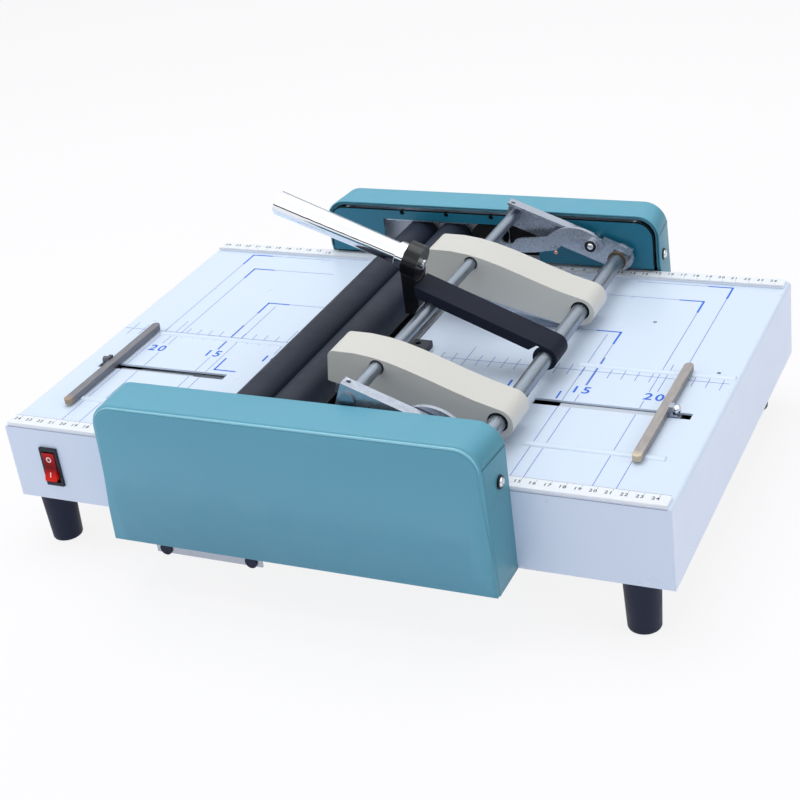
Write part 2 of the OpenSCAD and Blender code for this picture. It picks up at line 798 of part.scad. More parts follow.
// Turns a Z cylinder to lie along the handle, starting at the collar's outer face
module on_handle(start) {
    translate([collar_c[0] + start * handle_dir[0], arm_y, collar_c[1] + start * handle_dir[1]])
        rotate([0, -90 + handle_tilt, 0]) children();
}

module arm_post() {
    color([0.04, 0.04, 0.05]) difference() {
        along_y(arm_y - post_w / 2, arm_y + post_w / 2)
            polygon([[post_x0, table_z + post_low], [arm_end_x - 4, table_z + post_low],
                [arm_end_x, table_z + post_low + 6], [arm_end_x, collar_c[1] - 2],
                [post_x0, collar_c[1]]]);
        on_handle(-20) cylinder(r = collar_r, h = collar_l + 40);
        rod_y(rod_r + 1, arm_y - post_w, arm_y + post_w, rod_x, rod_z);
    }
}

module collar() {
    color([0.05, 0.05, 0.06]) on_handle(0) cylinder(r = collar_r, h = collar_l);
}

module collar_bolt() {
    color([0.82, 0.83, 0.85]) on_handle(-2.4) difference() {
        cylinder(r = 3.4, h = 2.4);
        translate([0, 0, -1]) cylinder(r = 1.7, h = 2.2, $fn = 6);
    }
}

module handle_tube() {
    wall = 1.5;
    rim = 1.2;
    color([0.93, 0.94, 0.95]) on_handle(collar_l) difference() {
        union() {
            cylinder(r1 = handle_neck_r, r2 = handle_r, h = handle_l - wall);
            translate([0, 0, handle_l - wall - 1]) cylinder(r = handle_r - rim, h = wall + 1);
        }
        translate([0, 0, -1]) cylinder(r = handle_neck_r - wall, h = handle_l - wall);
    }
}

module handle_ferrule() {
    color([0.96, 0.96, 0.97]) on_handle(collar_l) difference() {
        cylinder(r = ferrule_r, h = ferrule_l);
        translate([0, 0, -1]) cylinder(r = handle_neck_r + 0.1, h = ferrule_l + 2);
    }
}

module press_rod() {
    color([0.74, 0.78, 0.82]) union() {
        rod_y(rod_r, -bracket_wall_out, bracket_wall_out, rod_x, rod_z);
        for (s = [-1, 1])
            on_side(s) rod_y(rod_r + 1, bracket_wall_out - tiny, bracket_wall_out + 1.8, rod_x, rod_z);
    }
}

// A slot of width w along an arc from angle a0 down to angle a1
module arc_slot(radius, w, a0, a1) {
    polygon(concat(
        arc([0, 0], radius + w / 2, a1, a0, 12),
        arc(radius * [cos(a0), sin(a0)], w / 2, a0, a0 + 180),
        arc([0, 0], radius - w / 2, a0, a1, 12),
        arc(radius * [cos(a1), sin(a1)], w / 2, a1 + 180, a1 + 360)));
}

module press_bracket(side) {
    color([0.6, 0.63, 0.68]) on_side(side) difference() {
        union() {
            along_y(bracket_wall_in, bracket_wall_out) from_shaft(bracket_tilt) union() {
                circle(r = bracket_low);
                translate([0, -bracket_top]) square([bracket_len, bracket_top + bracket_low]);
            }
            along_y(bracket_front_edge, bracket_wall_out) from_shaft(bracket_tilt)
                translate([-8, -bracket_top]) square([bracket_len + 8, arm_t]);
        }
        rod_y(shaft_r + run_gap, bracket_wall_in - 1, bracket_wall_out + 1, shaft_x, shaft_z);
        rod_y(rod_r, bracket_wall_in - 1, bracket_wall_out + 1, rod_x, rod_z);
        along_y(bracket_wall_in - 1, bracket_wall_out + 1) translate([shaft_x, shaft_z])
            arc_slot(stud_radius, 2 * (stud_r + 0.6), stud_dir, stud_dir - press_angle);
        box([stud_x - stud_r - 1, shaft_x + stud_radius * cos(stud_dir - press_angle) + stud_r + 0.6],
            [bracket_front_edge - 1, bracket_wall_in], [stud_z - 10, table_z + 100]);
        translate([rod_x, (bracket_front_edge + bracket_wall_in) / 2, table_z + rod_h])
            cylinder(r = 1.6, h = 40);
    }
}

// Stapling heads

// Underside of the staple rail: level, and one gap above the table, at the end of the stroke
function rail_low(d, up = 0) =
    let (p = turned([-d, -(shaft_h - anvil_gap) + up], -press_angle)) [shaft_x, shaft_z] + p;

// Outline of a head's cover along its nose, top and tail, drawn in by an inset
function head_line(inset) = concat(
    [[nose_x + inset, table_z + 36.5], [nose_x + 1.5 + inset, head_z - 12]],
    arc([nose_x + 7.5, head_z - 5], 5 - inset, 170, 92, 6),
    [for (p = [[20, 0.3], [34, 2.3], [45, 5], [58, 9.3], [75, 15.8], [90, 21.8], [105, 27.4]])
        [p[0], head_z - p[1] - 1.1 * inset]],
    arc([shaft_x, shaft_z - tail_drop], tail_r - inset, 73, -90));

module head_cover(y) {
    inner = head_w / 2 - head_t;
    hole_r = rod_r + 0.9;
    color([0.88, 0.88, 0.85]) difference() {
        along_y(y - head_w / 2, y + head_w / 2) polygon(concat(head_line(0),
            [[rail_low(14)[0], shaft_z - tail_drop - tail_r + 0.4], [92, table_z + 9], [72, table_z + 14],
                [56, table_z + 18.4], [40, table_z + 23.4], [22, table_z + 29], [6.5, table_z + 34]]));
        along_y(y - inner, y + inner) polygon(concat(head_line(head_t),
            [[shaft_x, shaft_z - tail_drop - tail_r - 2.5], [nose_x + head_t, table_z + 22]]));
        rod_y(hole_r, y - head_w, y + head_w, rod_x, rod_z);
        rod_y(tail_hole_r, y - head_w, y + head_w, shaft_x, shaft_z);
    }
}

module staple_rail(y) {
    inner = head_w / 2 - head_t;
    front = shaft_x - nose_x - head_t - 1.6;
    color([0.62, 0.66, 0.7]) difference() {
        union() {
            rod_y(tail_r - tail_drop - head_t - pass_gap, y - inner, y + inner, shaft_x, shaft_z);
            along_y(y - inner, y + inner)
                polygon([rail_low(2), rail_low(front), rail_low(front, 20), rail_low(front - 11, 20),
                    rail_low(front - 13, 12), rail_low(2, 12)]);
        }
        rod_y(shaft_r + run_gap, y - head_w, y + head_w, shaft_x, shaft_z);
    }
}

// Latch levers: an arched lever on each stud, with a notch where the rod lands

module latch_lever(side) {
    hump = [stud_x - 15, stud_z - 16.6];
    tip_x = notch_x - notch_r - 7;
    color([0.56, 0.58, 0.63]) on_side(side) {
        difference() {
            along_y(latch_in, latch_out) polygon(concat(
                [[tip_x, notch_z - 8], [tip_x + 2, notch_z - 2.5]],
                arc([notch_x, notch_z], notch_r, 205, 335, 16),
                [[notch_x + notch_r + 3, notch_z - 1.6], [stud_x - 37, stud_z + 3.7]],
                arc(hump, 30, 137, 45, 16),
                arc([stud_x, stud_z], 9, 30, -180),
                arc(hump, 18, 72, 120, 8),
                [[stud_x - 28.8, stud_z - 6], [stud_x - 47.5, stud_z - 9.4],
                    [tip_x + 4, notch_z - 14.5], [tip_x, notch_z - 13]]));
            rod_y(stud_r + run_gap, latch_in - 1, latch_out + 1, stud_x, stud_z);
        }
        rod_y(1.75, latch_in - 3, latch_in + tiny, stud_x - 32, stud_z - 4);
    }
}

base_shell();
under_plate();
fold_plate();
anvil_bar();
clinch_strip();
centre_block();
foot(-1, -1);  // foot_front_left
foot(1, -1);  // foot_front_right
foot(-1, 1);  // foot_back_left
foot(1, 1);  // foot_back_right
guide_strip(-base_front);  // guide_front
guide_strip(base_back - guide_back_gap - guide_w);  // guide_back
side_cover(-1);  // cover_front
side_cover(1);  // cover_back
inner_plate(-1);  // inner_plate_front
inner_plate(1);  // inner_plate_back
bearing_frame(-1);  // bearing_frame_front
bearing_frame(1);  // bearing_frame_back
cover_screw(-1, -1);  // cover_screw_front_left
cover_screw(1, -1);  // cover_screw_front_right
cover_screw(-1, 1);  // cover_screw_back_left
cover_screw(1, 1);  // cover_screw_back_right
lower_bracket();
grommets();
main_shaft();
latch_stud(-1);  // latch_stud_front
latch_stud(1);  // latch_stud_back
fold_motor();
knife_motor();
knife_guide(-1);  // knife_guide_front
knife_guide(1);  // knife_guide_back
switch_bezel();
power_inlet();
roller_sleeve(nip_left_x);  // roller_sleeve_left
roller_shaft(nip_left_x, left_phase);  // roller_shaft_left
roller_sleeve(nip_right_x);  // roller_sleeve_right
roller_shaft(nip_right_x, right_phase);  // roller_shaft_right
idler_gear();
motor_pinion();
fold_knife();
switch_rocker();
stop_bar(stop_left_x, slot_left_y);  // stop_bar_left
stop_block(stop_left_x, slot_left_y, -1);  // stop_block_left
stop_bar(stop_right_x, slot_right_y);  // stop_bar_right
stop_block(stop_right_x, slot_right_y, 1);  // stop_block_right
press_arm();
arm_post();
collar();
collar_bolt();
handle_tube();
handle_ferrule();
press_rod();
press_bracket(-1);  // bracket_front
press_bracket(1);  // bracket_back
head_cover(head_front_y);  // head_cover_front
staple_rail(head_front_y);  // staple_rail_front
head_cover(head_back_y);  // head_cover_back
staple_rail(head_back_y);  // staple_rail_back
latch_lever(-1);  // latch_lever_front
latch_lever(1);  // latch_lever_back
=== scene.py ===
import math

import bmesh
import bpy
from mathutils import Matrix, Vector

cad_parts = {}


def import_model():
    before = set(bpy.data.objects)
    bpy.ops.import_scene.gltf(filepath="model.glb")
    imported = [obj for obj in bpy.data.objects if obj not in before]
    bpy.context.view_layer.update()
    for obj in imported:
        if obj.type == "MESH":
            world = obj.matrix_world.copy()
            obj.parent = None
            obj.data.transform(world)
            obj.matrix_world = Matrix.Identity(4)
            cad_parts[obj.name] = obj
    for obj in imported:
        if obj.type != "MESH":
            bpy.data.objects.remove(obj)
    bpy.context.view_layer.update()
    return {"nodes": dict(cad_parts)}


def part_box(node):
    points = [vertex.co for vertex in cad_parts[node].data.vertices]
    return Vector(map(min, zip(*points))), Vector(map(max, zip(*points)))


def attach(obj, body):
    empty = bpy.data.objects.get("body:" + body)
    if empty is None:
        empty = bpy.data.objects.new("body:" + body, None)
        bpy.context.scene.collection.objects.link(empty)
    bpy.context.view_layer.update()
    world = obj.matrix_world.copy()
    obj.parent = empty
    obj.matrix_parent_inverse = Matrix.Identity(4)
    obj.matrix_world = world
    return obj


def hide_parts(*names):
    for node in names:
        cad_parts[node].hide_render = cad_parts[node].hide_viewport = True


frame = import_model()
nodes = frame["nodes"]
MM = 0.001

# Places that the pieces share, in millimetres
TABLE = 100.0
FRAME_Y = 160.5
BACK_Y = 166.0
COVER_Y = 196.0
COVER_X = {-1: 0.5, 1: 4.5}
COVER_HALF = 145.0
COVER_TOP = 148.5
COVER_LOW = 40.0
COVER_R = 18.0
COVER_DEPTH = 35.5
COVER_LEAN = 3.0
COVER_WALL = 3.6
# How far the back cover's open side is cut back from the base above the table
BACK_CUT = 3.6
SHAFT = (119.5, 117.5)
STUD = (101.0, 131.4)
RIGHT_SLOT_Y = -48.6
LEFT_SLOT_Y = -61.0
SLOT_HALF = 4.0
SWITCH = (-215.4, -156.5, 69.1)


# Camera

def place_camera():
    data = bpy.data.cameras.new("camera")
    data.sensor_width = 36
    data.lens = 73.02
    data.clip_start = 0.05
    data.clip_end = 20
    cam = bpy.data.objects.new("camera", data)
    bpy.context.scene.collection.objects.link(cam)
    cam.location = (0.4996, -0.9567, 0.6392)
    cam.rotation_euler = [math.radians(a) for a in (61.6168, 7.0128, 24.2089)]
    bpy.context.scene.camera = cam


place_camera()


# Materials

def new_material(name):
    mat = bpy.data.materials.new(name)
    mat.use_nodes = True
    return mat, mat.node_tree, mat.node_tree.nodes["Principled BSDF"]


def noise(tree, scale, detail=4.0, stretch=(1, 1, 1), rough=0.55):
    coord = tree.nodes.new("ShaderNodeTexCoord")
    mapping = tree.nodes.new("ShaderNodeMapping")
    mapping.inputs["Scale"].default_value = stretch
    tex = tree.nodes.new("ShaderNodeTexNoise")
    tex.inputs["Scale"].default_value = scale
    tex.inputs["Detail"].default_value = detail
    tex.inputs["Roughness"].default_value = rough
    tree.links.new(coord.outputs["Object"], mapping.inputs["Vector"])
    tree.links.new(mapping.outputs["Vector"], tex.inputs["Vector"])
    return tex.outputs["Fac"]


def ramp(tree, fac, low, high, at=(0.3, 0.7)):
    node = tree.nodes.new("ShaderNodeMapRange")
    node.inputs["From Min"].default_value = at[0]
    node.inputs["From Max"].default_value = at[1]
    node.inputs["To Min"].default_value = low
    node.inputs["To Max"].default_value = high
    tree.links.new(fac, node.inputs["Value"])
    return node.outputs["Result"]


def mix_colour(tree, fac, a, b):
    node = tree.nodes.new("ShaderNodeMix")
    node.data_type = "RGBA"
    node.inputs["A"].default_value = (*a, 1)
    node.inputs["B"].default_value = (*b, 1)
    tree.links.new(fac, node.inputs["Factor"])
    return node.outputs["Result"]


def linear_part(value):
    part = value / 255
    if part <= 0.04045:
        return part / 12.92
    return ((part + 0.055) / 1.055) ** 2.4


def linear(rgb):
    return tuple(linear_part(value) for value in rgb)


def bump(tree, shader, fac, strength, distance):
    node = tree.nodes.new("ShaderNodeBump")
    node.inputs["Strength"].default_value = strength
    node.inputs["Distance"].default_value = distance
    tree.links.new(fac, node.inputs["Height"])
    tree.links.new(node.outputs["Normal"], shader.inputs["Normal"])


def paint(name, rgb, rough=0.38, vary=0.03, grain=900, depth=0.00004, coat=0.0, spec=0.5):
    """Powder coat or enamel: a fine orange-peel skin and a slow drift of tone and gloss."""
    mat, tree, shader = new_material(name)
    base = linear(rgb)
    slow = noise(tree, 9, 3)
    dark = tuple(c * (1 - vary) for c in base)
    light = tuple(min(1, c * (1 + vary)) for c in base)
    tree.links.new(mix_colour(tree, slow, dark, light), shader.inputs["Base Color"])
    tree.links.new(ramp(tree, noise(tree, 40, 5), rough - 0.05, rough + 0.07), shader.inputs["Roughness"])
    bump(tree, shader, noise(tree, grain, 2), 0.35, depth)
    shader.inputs["Coat Weight"].default_value = coat
    shader.inputs["Coat Roughness"].default_value = 0.12
    shader.inputs["Specular IOR Level"].default_value = spec
    return mat


def metal(name, rgb, rough=0.3, stretch=(1, 1, 1), scale=300, depth=0.00003,
          spread=0.1, vary=0.08, bare=1.0):
    """Bare or plated metal: brushed or mottled grain in its tone, gloss and height."""
    mat, tree, shader = new_material(name)
    base = linear(rgb)
    shader.inputs["Metallic"].default_value = bare
    grain = noise(tree, scale, 4, stretch)
    dark = tuple(c * (1 - vary) for c in base)
    light = tuple(min(1, c * (1 + vary)) for c in base)
    tree.links.new(mix_colour(tree, grain, dark, light), shader.inputs["Base Color"])
    tree.links.new(ramp(tree, grain, max(0.02, rough - spread), rough + spread), shader.inputs["Roughness"])
    bump(tree, shader, grain, 0.3, depth)
    return mat


def rubber(name, rgb, rough=0.55, grain=1400, depth=0.00005, vary=0.08, spec=0.3):
    mat, tree, shader = new_material(name)
    base = linear(rgb)
    slow = noise(tree, 25, 4)
    dark = tuple(c * (1 - vary) for c in base)
    light = tuple(min(1, c * (1 + vary)) for c in base)
    tree.links.new(mix_colour(tree, slow, dark, light), shader.inputs["Base Color"])
    tree.links.new(ramp(tree, noise(tree, 60, 5), rough - 0.08, rough + 0.1), shader.inputs["Roughness"])
    bump(tree, shader, noise(tree, grain, 3), 0.4, depth)
    shader.inputs["Specular IOR Level"].default_value = spec
    return mat


def tip_metal(name, rgb, tip_rgb, y0, y1):
    """A stop bar's worn metal, with bare tan metal at its near end."""
    mat = metal(name, rgb, 0.5, (3, 0.6, 3), 170, 0.00008, 0.1, 0.3)
    tree = mat.node_tree
    shader = tree.nodes["Principled BSDF"]
    worn = shader.inputs["Base Color"].links[0].from_socket
    coord = tree.nodes.new("ShaderNodeTexCoord")
    axes = tree.nodes.new("ShaderNodeSeparateXYZ")
    tree.links.new(coord.outputs["Object"], axes.inputs[0])
    near = ramp(tree, axes.outputs["Y"], 1.0, 0.0, (y0 * MM, y1 * MM))
    mix = tree.nodes.new("ShaderNodeMix")
    mix.data_type = "RGBA"
    mix.inputs["B"].default_value = (*linear(tip_rgb), 1)
    tree.links.new(near, mix.inputs["Factor"])
    tree.links.new(worn, mix.inputs["A"])
    tree.links.new(mix.outputs["Result"], shader.inputs["Base Color"])
    return mat


def cover_teal(name):
    """The cover's mottled paint, with painted shade that makes the end facing right a deeper teal."""
    mat = paint(name, (98, 166, 188), 0.4, 0.06, 420, 0.00009, 0.0, 0.35)
    tree = mat.node_tree
    shader = tree.nodes["Principled BSDF"]
    plain = shader.inputs["Base Color"].links[0].from_socket
    shape = tree.nodes.new("ShaderNodeNewGeometry")
    axes = tree.nodes.new("ShaderNodeSeparateXYZ")
    tree.links.new(shape.outputs["Normal"], axes.inputs[0])
    # Painted shade: faces whose normal turns to the right blend towards a deeper teal.
    end = ramp(tree, axes.outputs["X"], 0.0, 1.0, (0.55, 0.9))
    mix = tree.nodes.new("ShaderNodeMix")
    mix.data_type = "RGBA"
    mix.inputs["B"].default_value = (*linear((84, 148, 166)), 1)
    tree.links.new(end, mix.inputs["Factor"])
    tree.links.new(plain, mix.inputs["A"])
    tree.links.new(mix.outputs["Result"], shader.inputs["Base Color"])
    return mat


def lit_red(name):
    """Red plastic, with painted shade darkening its middle and painted highlights brightening it towards its
    foot and its top.
    """
    mat = paint(name, (186, 10, 12), 0.22, 0.3, 260, 0.00003, 0.0, 0.15)
    tree = mat.node_tree
    shader = tree.nodes["Principled BSDF"]
    coord = tree.nodes.new("ShaderNodeTexCoord")
    axes = tree.nodes.new("ShaderNodeSeparateXYZ")
    tree.links.new(coord.outputs["Object"], axes.inputs[0])
    # Painted highlight and shade: a ramp of reds running up the rocker's height.
    height = ramp(tree, axes.outputs["Z"], 0.0, 1.0, (0.058, 0.0825))
    painted_sheen = tree.nodes.new("ShaderNodeValToRGB")
    painted_sheen.color_ramp.elements[0].color = (*linear((238, 52, 20)), 1)
    painted_sheen.color_ramp.elements[1].color = (*linear((198, 30, 36)), 1)
    for place, rgb in ((0.22, (226, 26, 16)), (0.45, (120, 3, 8)), (0.62, (148, 6, 12))):
        painted_sheen.color_ramp.elements.new(place).color = (*linear(rgb), 1)
    tree.links.new(height, painted_sheen.inputs["Fac"])
    tree.links.new(painted_sheen.outputs["Color"], shader.inputs["Base Color"])
    return mat


MAT = {
    "table": paint("table_paint", (220, 233, 250), 0.32, 0.012, 1100, 0.00002),
    "frame": paint("frame_paint", (226, 232, 246), 0.4, 0.012, 1100, 0.00002),
    "under": metal("galvanised", (170, 176, 184), 0.42, (1, 1, 1), 60, 0.00003),
    "teal": cover_teal("cover_paint"),
    # The bead's paint is a lighter teal than the cover's, as a painted highlight along its rolled edge.
    "bead": paint("bead_highlight_paint", (136, 200, 217), 0.25, 0.03, 700, 0.00003, 0.3),
    "plate": paint("plate_paint", (24, 110, 136), 0.34, 0.1, 700, 0.00004),
    "seam": paint("seam_shadow", (44, 92, 114), 0.5, 0.05, 700, 0.00001),
    "cream": paint("head_enamel", (214, 212, 205), 0.36, 0.015, 800, 0.00003),
    "black": paint("black_enamel", (27, 31, 45), 0.5, 0.12, 600, 0.00005, 0.0, 0.1),
    "gloss_black": paint("black_gloss", (13, 13, 17), 0.24, 0.12, 600, 0.00004, 0.0, 0.35),
    "zinc": metal("zinc_plate", (172, 179, 191), 0.28, (1, 1, 1), 240, 0.00003, 0.08, 0.07, 0.75),
    "grey_zinc": metal("zinc_dark", (96, 98, 104), 0.4, (1, 1, 1), 260, 0.00004, 0.1, 0.12),
    "steel": metal("ground_steel", (150, 159, 170), 0.34, (6, 0.25, 6), 300, 0.00004, 0.1, 0.14),
    "strip": metal("strip_steel", (200, 206, 214), 0.3, (8, 0.2, 8), 400, 0.00002, 0.1, 0.08),
    "chrome": metal("chrome_plate", (236, 238, 242), 0.08, (1, 1, 1), 90, 0.000004, 0.02, 0.02),
    "bright": metal("bright_screw", (224, 226, 230), 0.2, (1, 1, 1), 500, 0.00002, 0.08, 0.06),
    "alu": paint("guide_white", (240, 244, 250), 0.3, 0.01, 900, 0.00002),
    "grey_line": paint("guide_edge", (136, 141, 158), 0.45, 0.05, 900, 0.00002),
    "foot": rubber("foot_rubber", (30, 36, 58), 0.5, 1400, 0.00005, 0.08, 0.22),
    "roller": rubber("roller_rubber", (34, 40, 54), 0.45, 1600, 0.00003, 0.08, 0.2),
    "plastic": rubber("black_plastic", (28, 34, 48), 0.34, 900, 0.00004),
    "stop_left": tip_metal("stop_steel_left", (134, 133, 138), (176, 152, 130), -127.0, -119.0),
    "stop_right": tip_metal("stop_steel_right", (158, 153, 150), (206, 190, 164), -114.6, -106.5),
    "gear": rubber("gear_plastic", (212, 211, 196), 0.45, 900, 0.00003),
    "brass": metal("gear_brass", (190, 150, 84), 0.3),
    "bush": metal("bush_brass", (118, 102, 84), 0.4),
    "copper": metal("copper_pin", (206, 158, 146), 0.35),
    "red": lit_red("rocker_red"),
    "ink_blue": paint("ink_blue", (48, 112, 226), 0.45, 0.08, 900, 0.00001, 0.0, 0.2),
    "ink_thin": paint("ink_thin", (112, 132, 204), 0.45, 0.08, 900, 0.00001, 0.0, 0.2),
    "ink_black": paint("ink_black", (40, 42, 48), 0.45, 0.1, 900, 0.00001),
    "mark_white": paint("mark_white", (250, 214, 214), 0.4, 0.03, 900, 0.00001),
    "rail": paint("rail_grey", (196, 203, 214), 0.4, 0.05, 600, 0.00002),
    # Deep black: the colour of some black parts, and also painted shade in holes, gaps and behind the
    # windows.
    "dark": rubber("deep_black_and_painted_shade", (8, 8, 10), 0.7),
}


# Shape helpers

def link(obj, mat, body="base"):
    bpy.context.scene.collection.objects.link(obj)
    if mat:
        obj.data.materials.append(MAT[mat])
    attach(obj, body)
    return obj


def from_bmesh(name, bm, mat, body="base", smooth=True):
    bmesh.ops.remove_doubles(bm, verts=bm.verts, dist=1e-7)
    bmesh.ops.recalc_face_normals(bm, faces=bm.faces)
    mesh = bpy.data.meshes.new(name)
    bm.to_mesh(mesh)
    bm.free()
    if smooth:
        for poly in mesh.polygons:
            poly.use_smooth = True
    obj = bpy.data.objects.new(name, mesh)
    return link(obj, mat, body)


def soften(obj, width=0.4, angle=32, segments=2):
    """Rounds the sharp edges of a piece, joining the split corners of an imported mesh first."""
    weld = obj.modifiers.new("weld", "WELD")
    weld.merge_threshold = 2e-6
    mod = obj.modifiers.new("edge", "BEVEL")
    mod.width = width * MM
    mod.segments = segments
    mod.limit_method = "ANGLE"
    mod.angle_limit = math.radians(angle)
    mod.use_clamp_overlap = True
    mod.harden_normals = False
    normal = obj.modifiers.new("normal", "WEIGHTED_NORMAL")
    normal.keep_sharp = False
    for poly in obj.data.polygons:
        poly.use_smooth = True


def dress(node, mat, width=0.0, angle=32, segments=2):
    obj = nodes[node]
    for s in obj.material_slots:
        s.material = MAT[mat]
    if width:
        soften(obj, width, angle, segments)
    return obj


def mm(x, y, z):
    return Vector((x * MM, y * MM, z * MM))


def arc(cx, cz, r, a0, a1, n=16):
    return [(cx + r * math.cos(math.radians(a0 + (a1 - a0) * i / n)),
             cz + r * math.sin(math.radians(a0 + (a1 - a0) * i / n))) for i in range(n + 1)]


def sweep(name, rows, mat, body="base", closed=True, caps=(False, False)):
    """Joins rows of points, each a closed or open loop, into one skin."""
    bm = bmesh.new()
    grid = [[bm.verts.new(p) for p in row] for row in rows]
    count = len(rows[0])
    last = count if closed else count - 1
    for a, b in zip(grid, grid[1:]):
        for i in range(last):
            j = (i + 1) % count
            bm.faces.new((a[i], a[j], b[j], b[i]))
    if caps[0]:
        bm.faces.new(grid[0])
    if caps[1]:
        bm.faces.new(list(reversed(grid[-1])))
    return from_bmesh(name, bm, mat, body)


def lathe(name, profile, origin, axis, mat, body="base", steps=48):
    """Turns a profile of (distance along the axis, radius) points round the axis."""
    axis = Vector(axis).normalized()
    side = axis.orthogonal().normalized()
    other = axis.cross(side)
    start = mm(*origin)
    rows = []
    for along, radius in profile:
        row = []
        for i in range(steps):
            a = 2 * math.pi * i / steps
            row.append(start + (axis * along + (side * math.cos(a) + other * math.sin(a)) * radius) * MM)
        rows.append(row)
    return sweep(name, rows, mat, body, True, (profile[0][1] > 0, profile[-1][1] > 0))


# Side covers: a pressed shell with a rolled bead round its outer face

def cover_path(side, inset, narrow=0.0):
    """A cover's outline drawn in by an inset, whose ends lean in by narrow from the foot to the top."""
    mid = COVER_X[side]
    half = COVER_HALF - inset
    top = COVER_TOP - inset
    low = COVER_LOW + inset
    r = max(COVER_R - inset, 1.0)
    path = []
    for i in range(13):
        path.append((mid - half, low + (top - r - low) * i / 12))
    path += arc(mid - half + r, top - r, r, 180, 90, 20)[1:]
    for i in range(1, 24):
        path.append((mid - half + r + (2 * half - 2 * r) * i / 24, top))
    path += arc(mid + half - r, top - r, r, 90, 0, 20)
    for i in range(1, 13):
        path.append((mid + half, top - r + (low - top + r) * i / 12))
    for i in range(1, 24):
        path.append((mid + half - 2 * half * i / 24, low))
    lean = []
    for x, z in path:
        pull = narrow * (z - COVER_LOW) / (COVER_TOP - COVER_LOW)
        lean.append((mid + (x - mid) * (1 - pull / COVER_HALF), z))
    return lean


def cover_rim(side, z):
    """Where the open side of a cover starts: the back one is cut back below the table's top."""
    if side < 0:
        return FRAME_Y + 0.15
    return BACK_Y + 0.15 if z < TABLE + 2.9 else FRAME_Y + BACK_CUT


def cover(name, side, node):
    """One cover's shell: its bead's inset fades below the table, so that its foot stays sharp."""
    section = [(0.0, 1.4), (-0.1, 0.7), (0.15, 0.2), (0.8, 0.05), (26.0, 0.05), (29.2, 0.1), (30.6, 0.0),
               (31.6, 0.0), (32.4, 0.1), (33.1, 0.45), (33.6, 0.95), (33.95, 1.6), (34.1, 2.2), (34.35, 2.7),
               (34.9, 3.1), (35.35, 3.7), (35.5, 4.6)]
    rows = []
    for depth, inset in section:
        row = []
        lean = COVER_LEAN * depth / COVER_DEPTH
        sharp = cover_path(side, min(inset, 0.5), lean)
        for (x, z), (sharp_x, sharp_z) in zip(cover_path(side, inset, lean), sharp):
            rise = min(1.0, max(0.0, (sharp_z - 65.0) / 55.0)) if depth > 20 else 1.0
            x = sharp_x + (x - sharp_x) * rise
            z = sharp_z + (z - sharp_z) * rise
            start = cover_rim(side, z)
            y = start + depth * (COVER_Y - start) / COVER_DEPTH
            row.append(mm(x, side * y, z))
        rows.append(row)
    piece = sweep(name, rows, "teal", "base", True, (False, True))
    wall = piece.modifiers.new("wall", "SOLIDIFY")
    wall.thickness = COVER_WALL * MM
    wall.offset = -1
    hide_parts(node)
    return piece


def liner(name, side):
    """A black sheet inside a cover as painted shade, seen as the black line round its inner plate."""
    rows = []
    for inset, out in ((3.7, 0.5), (4.85, 0.5), (4.85, 3.3), (6.2, 3.4)):
        y = FRAME_Y + out
        rows.append([mm(x, side * y, z) for x, z in cover_path(side, inset) if z > TABLE + 3])
    return sweep(name, rows, "dark", closed=False)


def bead(name, side):
    """The rolled bead along a cover's top outer edge, which dies away at its ends; its lighter paint is a
    painted highlight.
    """
    line = [p for p in cover_path(side, 1.9, COVER_LEAN) if p[1] > TABLE + 26]
    rows = []
    for i, (x, z) in enumerate(line):
        before = Vector(line[max(i - 1, 0)])
        after = Vector(line[min(i + 1, len(line) - 1)])
        along = (after - before).normalized()
        out = Vector((-along.y, along.x))
        fade = min(1.0, (i + 0.4) / 28, (len(line) - i - 0.6) / 12)
        r = 0.95 * fade ** 0.6
        row = []
        for k in range(12):
            a = 2 * math.pi * k / 12
            lift = r * math.cos(a)
            y = COVER_Y - 1.45 + 1.1 * r * math.sin(a)
            row.append(mm(x + out.x * lift, side * y, z + out.y * lift))
        rows.append(row)
    return sweep(name, rows, "bead", "base", True, (True, True))


cover("cover_shell_front", -1, "cover_front")
cover("cover_shell_back", 1, "cover_back")
# Black sheets inside the covers, painted shade round the inner plates
liner("cover_liner_front", -1)
liner("cover_liner_back", 1)
bead("cover_bead_front", -1)
bead("cover_bead_back", 1)


def seam(name, side):
    """The join line where a cover's wrapped top meets its right end."""
    z = COVER_TOP - COVER_R + 2.5
    pull = COVER_LEAN * (z - COVER_LOW) / (COVER_TOP - COVER_LOW)
    x = COVER_X[side] + COVER_HALF + 0.06
    start = cover_rim(side, z)
    bm = bmesh.new()
    near = (x, start + 0.5)
    far = (x - pull, COVER_Y - 1.6)
    corners = [(near[0], side * near[1], z - 0.3), (far[0], side * far[1], z - 0.3),
               (far[0], side * far[1], z + 0.3), (near[0], side * near[1], z + 0.3)]
    bm.faces.new([bm.verts.new(mm(*c)) for c in corners])
    return from_bmesh(name, bm, "seam", smooth=False)


seam("cover_seam_front", -1)
seam("cover_seam_back", 1)

# Plain nodes that keep their shape and get a finish

